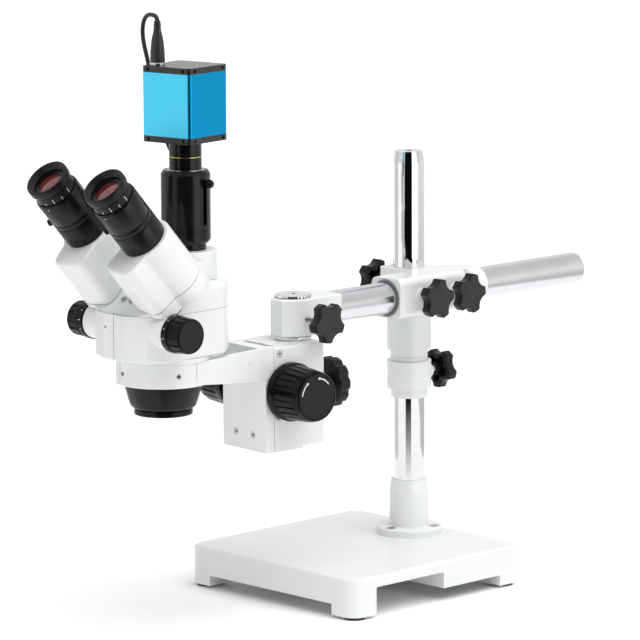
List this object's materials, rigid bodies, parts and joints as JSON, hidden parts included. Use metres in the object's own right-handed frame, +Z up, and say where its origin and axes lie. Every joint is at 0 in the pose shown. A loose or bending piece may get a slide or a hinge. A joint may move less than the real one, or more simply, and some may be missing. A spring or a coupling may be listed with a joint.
{
  "type": "trinocular stereo microscope on boom stand",
  "caption": "Stereo microscope with angled eyetubes and a cube camera on its photo tube, carried by a focusing arm on a sliding boom, chrome pillar and square base.",
  "frame": {"origin": "centre of the footprint box of the whole object, on the table", "axes": "+Z up, -Y towards the user, +X the user's right; the boom lies along Y"},
  "size_m": [0.2372, 0.6862, 0.5973],
  "materials": {
    "enamel_iron": "satin",
    "enamel_alloy": "satin",
    "chrome": "polished",
    "steel": "satin",
    "black_moulding": "satin",
    "black_gloss": "gloss",
    "black_anodised": "satin",
    "blue_anodised": "satin",
    "brass": "satin",
    "foot_rubber": "matte",
    "lens_glass": "polished",
    "lead_sheath": "satin",
    "board": "satin"
  },
  "bodies": {
    "stand": {"base_plate": "enamel_iron", "rubber_feet": "foot_rubber", "pillar_socket": "enamel_iron", "socket_screws": "steel", "pillar": "chrome"},
    "collar": {"safety_collar": "enamel_iron"},
    "collar_knob_body": {"collar_knob": "black_moulding"},
    "clamp": {"cross_clamp": "enamel_iron", "boom_bush": "black_moulding"},
    "pillar_lock": {"pillar_lock_knob": "black_moulding"},
    "boom_lock_front": {"boom_knob_front": "black_moulding"},
    "boom_lock_rear": {"boom_knob_rear": "black_moulding"},
    "boom": {"boom_tube": "chrome"},
    "end": {"end_block": "enamel_iron"},
    "swivel_lock": {"swivel_knob": "black_moulding"},
    "focus": {"focus_housing": "enamel_alloy", "housing_screws": "steel", "swivel_pin": "chrome", "pin_cap": "chrome"},
    "tension": {"tension_knob": "black_moulding"},
    "carriage": {"head_arm": "enamel_alloy", "dovetail_slide": "steel", "gear_rack": "brass", "arm_screws": "steel"},
    "drive": {"focus_shaft": "steel", "focus_knob_left": "black_gloss", "focus_knob_right": "black_gloss"},
    "head": {"objective_housing": "black_anodised", "objective_lens": "lens_glass", "body_left": "enamel_alloy", "body_right": "enamel_alloy", "head_cover": "enamel_alloy", "head_screws": "steel", "zoom_cells": "black_anodised", "photo_tube": "black_anodised"},
    "zoom": {"zoom_shaft": "steel", "zoom_knob_left": "black_gloss", "zoom_knob_right": "black_gloss"},
    "eye_left": {"eye_housing_left": "enamel_alloy", "eye_prism_left": "lens_glass", "eyepiece_barrel_left": "black_anodised", "eyepiece_lens_left": "lens_glass"},
    "eye_right": {"eye_housing_right": "enamel_alloy", "eye_prism_right": "lens_glass", "eyepiece_barrel_right": "black_anodised", "eyepiece_lens_right": "lens_glass"},
    "diopter_left": {"diopter_ring_left": "black_moulding"},
    "diopter_right": {"diopter_ring_right": "black_moulding"},
    "thumb_left": {"thumb_screw_left": "steel"},
    "thumb_right": {"thumb_screw_right": "steel"},
    "adapter": {"camera_adapter": "black_anodised"},
    "slot_lock": {"slot_knob": "steel"},
    "camera": {"camera_shell": "blue_anodised", "camera_caps": "black_anodised", "sensor_board": "board", "usb_plug": "lead_sheath", "usb_cord": "lead_sheath", "cord_coil": "lead_sheath", "cord_tie": "lead_sheath", "usb_a_plug": "lead_sheath"}
  },
  "joints": [
    {"name": "collar_slide", "type": "slide", "parent": "stand", "child": "collar", "axis": [0, 0, 1], "range_m": [-0.084, 0.1]},
    {"name": "collar_knob_turn", "type": "hinge", "parent": "collar", "child": "collar_knob_body", "pos_m": [0, 0.1852, 0.206], "axis": [0, 1, 0], "range_deg": [-180, 180]},
    {"name": "boom_swing", "type": "hinge", "parent": "collar", "child": "clamp", "pos_m": [0, 0.1352, 0.295], "axis": [0, 0, 1], "range_deg": [-180, 180]},
    {"name": "pillar_lock_turn", "type": "hinge", "parent": "clamp", "child": "pillar_lock", "pos_m": [-0.054, 0.1352, 0.2975], "axis": [-1, 0, 0], "range_deg": [-180, 180]},
    {"name": "boom_lock_front_turn", "type": "hinge", "parent": "clamp", "child": "boom_lock_front", "pos_m": [0.082, 0.097, 0.295], "axis": [1, 0, 0], "range_deg": [-180, 180]},
    {"name": "boom_lock_rear_turn", "type": "hinge", "parent": "clamp", "child": "boom_lock_rear", "pos_m": [0.08, 0.1442, 0.295], "axis": [1, 0, 0], "range_deg": [-180, 180]},
    {"name": "boom_slide", "type": "slide", "parent": "clamp", "child": "boom", "axis": [0, 1, 0], "range_m": [-0.13, 0.06]},
    {"name": "boom_roll", "type": "hinge", "parent": "boom", "child": "end", "pos_m": [0.0357, -0.0325, 0.2949], "axis": [0, 1, 0], "range_deg": [-45, 45]},
    {"name": "swivel_lock_turn", "type": "hinge", "parent": "end", "child": "swivel_lock", "pos_m": [0.088, -0.0615, 0.291], "axis": [1, 0, 0], "range_deg": [-180, 180]},
    {"name": "head_swivel", "type": "hinge", "parent": "end", "child": "focus", "pos_m": [0.0357, -0.0615, 0.29], "axis": [0, 0, 1], "range_deg": [-90, 50]},
    {"name": "tension_turn", "type": "hinge", "parent": "focus", "child": "tension", "pos_m": [0.04027, -0.0093, 0.222], "axis": [0.0872, 0.9962, 0], "range_deg": [-180, 180]},
    {"name": "focus_slide", "type": "slide", "parent": "focus", "child": "carriage", "axis": [0, 0, 1], "range_m": [-0.025, 0.018]},
    {"name": "focus_drive", "type": "hinge", "parent": "focus", "child": "drive", "pos_m": [0.03268, -0.09597, 0.227], "axis": [0.9962, -0.0872, 0], "range_deg": [-199, 276]},
    {"name": "head_rotation", "type": "hinge", "parent": "carriage", "child": "head", "pos_m": [0.02185, -0.21979, 0.258], "axis": [0, 0, 1], "range_deg": [-180, 180]},
    {"name": "zoom_turn", "type": "hinge", "parent": "head", "child": "zoom", "pos_m": [0.02185, -0.25529, 0.303], "axis": [1, 0, 0], "range_deg": [-125, 125]},
    {"name": "eye_right_fold", "type": "hinge", "parent": "head", "child": "eye_right", "pos_m": [0.06185, -0.25786, 0.33578], "axis": [0, -0.6691, 0.7431], "range_deg": [0, 31]},
    {"name": "eye_left_fold", "type": "hinge", "parent": "head", "child": "eye_left", "pos_m": [-0.01815, -0.25786, 0.33578], "axis": [0, -0.6691, 0.7431], "range_deg": [-31, 0]},
    {"name": "diopter_left_turn", "type": "hinge", "parent": "eye_left", "child": "diopter_left", "pos_m": [-0.01815, -0.31772, 0.43663], "axis": [0, -0.6691, 0.7431], "range_deg": [-120, 120]},
    {"name": "diopter_right_turn", "type": "hinge", "parent": "eye_right", "child": "diopter_right", "pos_m": [0.06185, -0.31772, 0.43663], "axis": [0, -0.6691, 0.7431], "range_deg": [-120, 120]},
    {"name": "thumb_left_turn", "type": "hinge", "parent": "eye_left", "child": "thumb_left", "pos_m": [-0.0288, -0.30254, 0.40643], "axis": [-0.766, -0.4777, -0.4301], "range_deg": [-180, 180]},
    {"name": "thumb_right_turn", "type": "hinge", "parent": "eye_right", "child": "thumb_right", "pos_m": [0.0512, -0.30254, 0.40643], "axis": [-0.766, -0.4777, -0.4301], "range_deg": [-180, 180]},
    {"name": "camera_height", "type": "slide", "parent": "head", "child": "adapter", "axis": [0, 0, 1], "range_m": [-0.02, 0]},
    {"name": "slot_lock_turn", "type": "hinge", "parent": "adapter", "child": "slot_lock", "pos_m": [0.03472, -0.18679, 0.4346], "axis": [0.9903, 0.1392, 0], "range_deg": [-180, 180]},
    {"name": "camera_turn", "type": "hinge", "parent": "adapter", "child": "camera", "pos_m": [0.02185, -0.1886, 0.475], "axis": [0, 0, 1], "range_deg": [-45, 45]}
  ],
  "couplings": [
    {"joint": "focus_drive", "follows": "focus_slide", "rad_per_m": -192.3},
    {"joint": "eye_left_fold", "follows": "eye_right_fold", "ratio": -1}
  ]
}
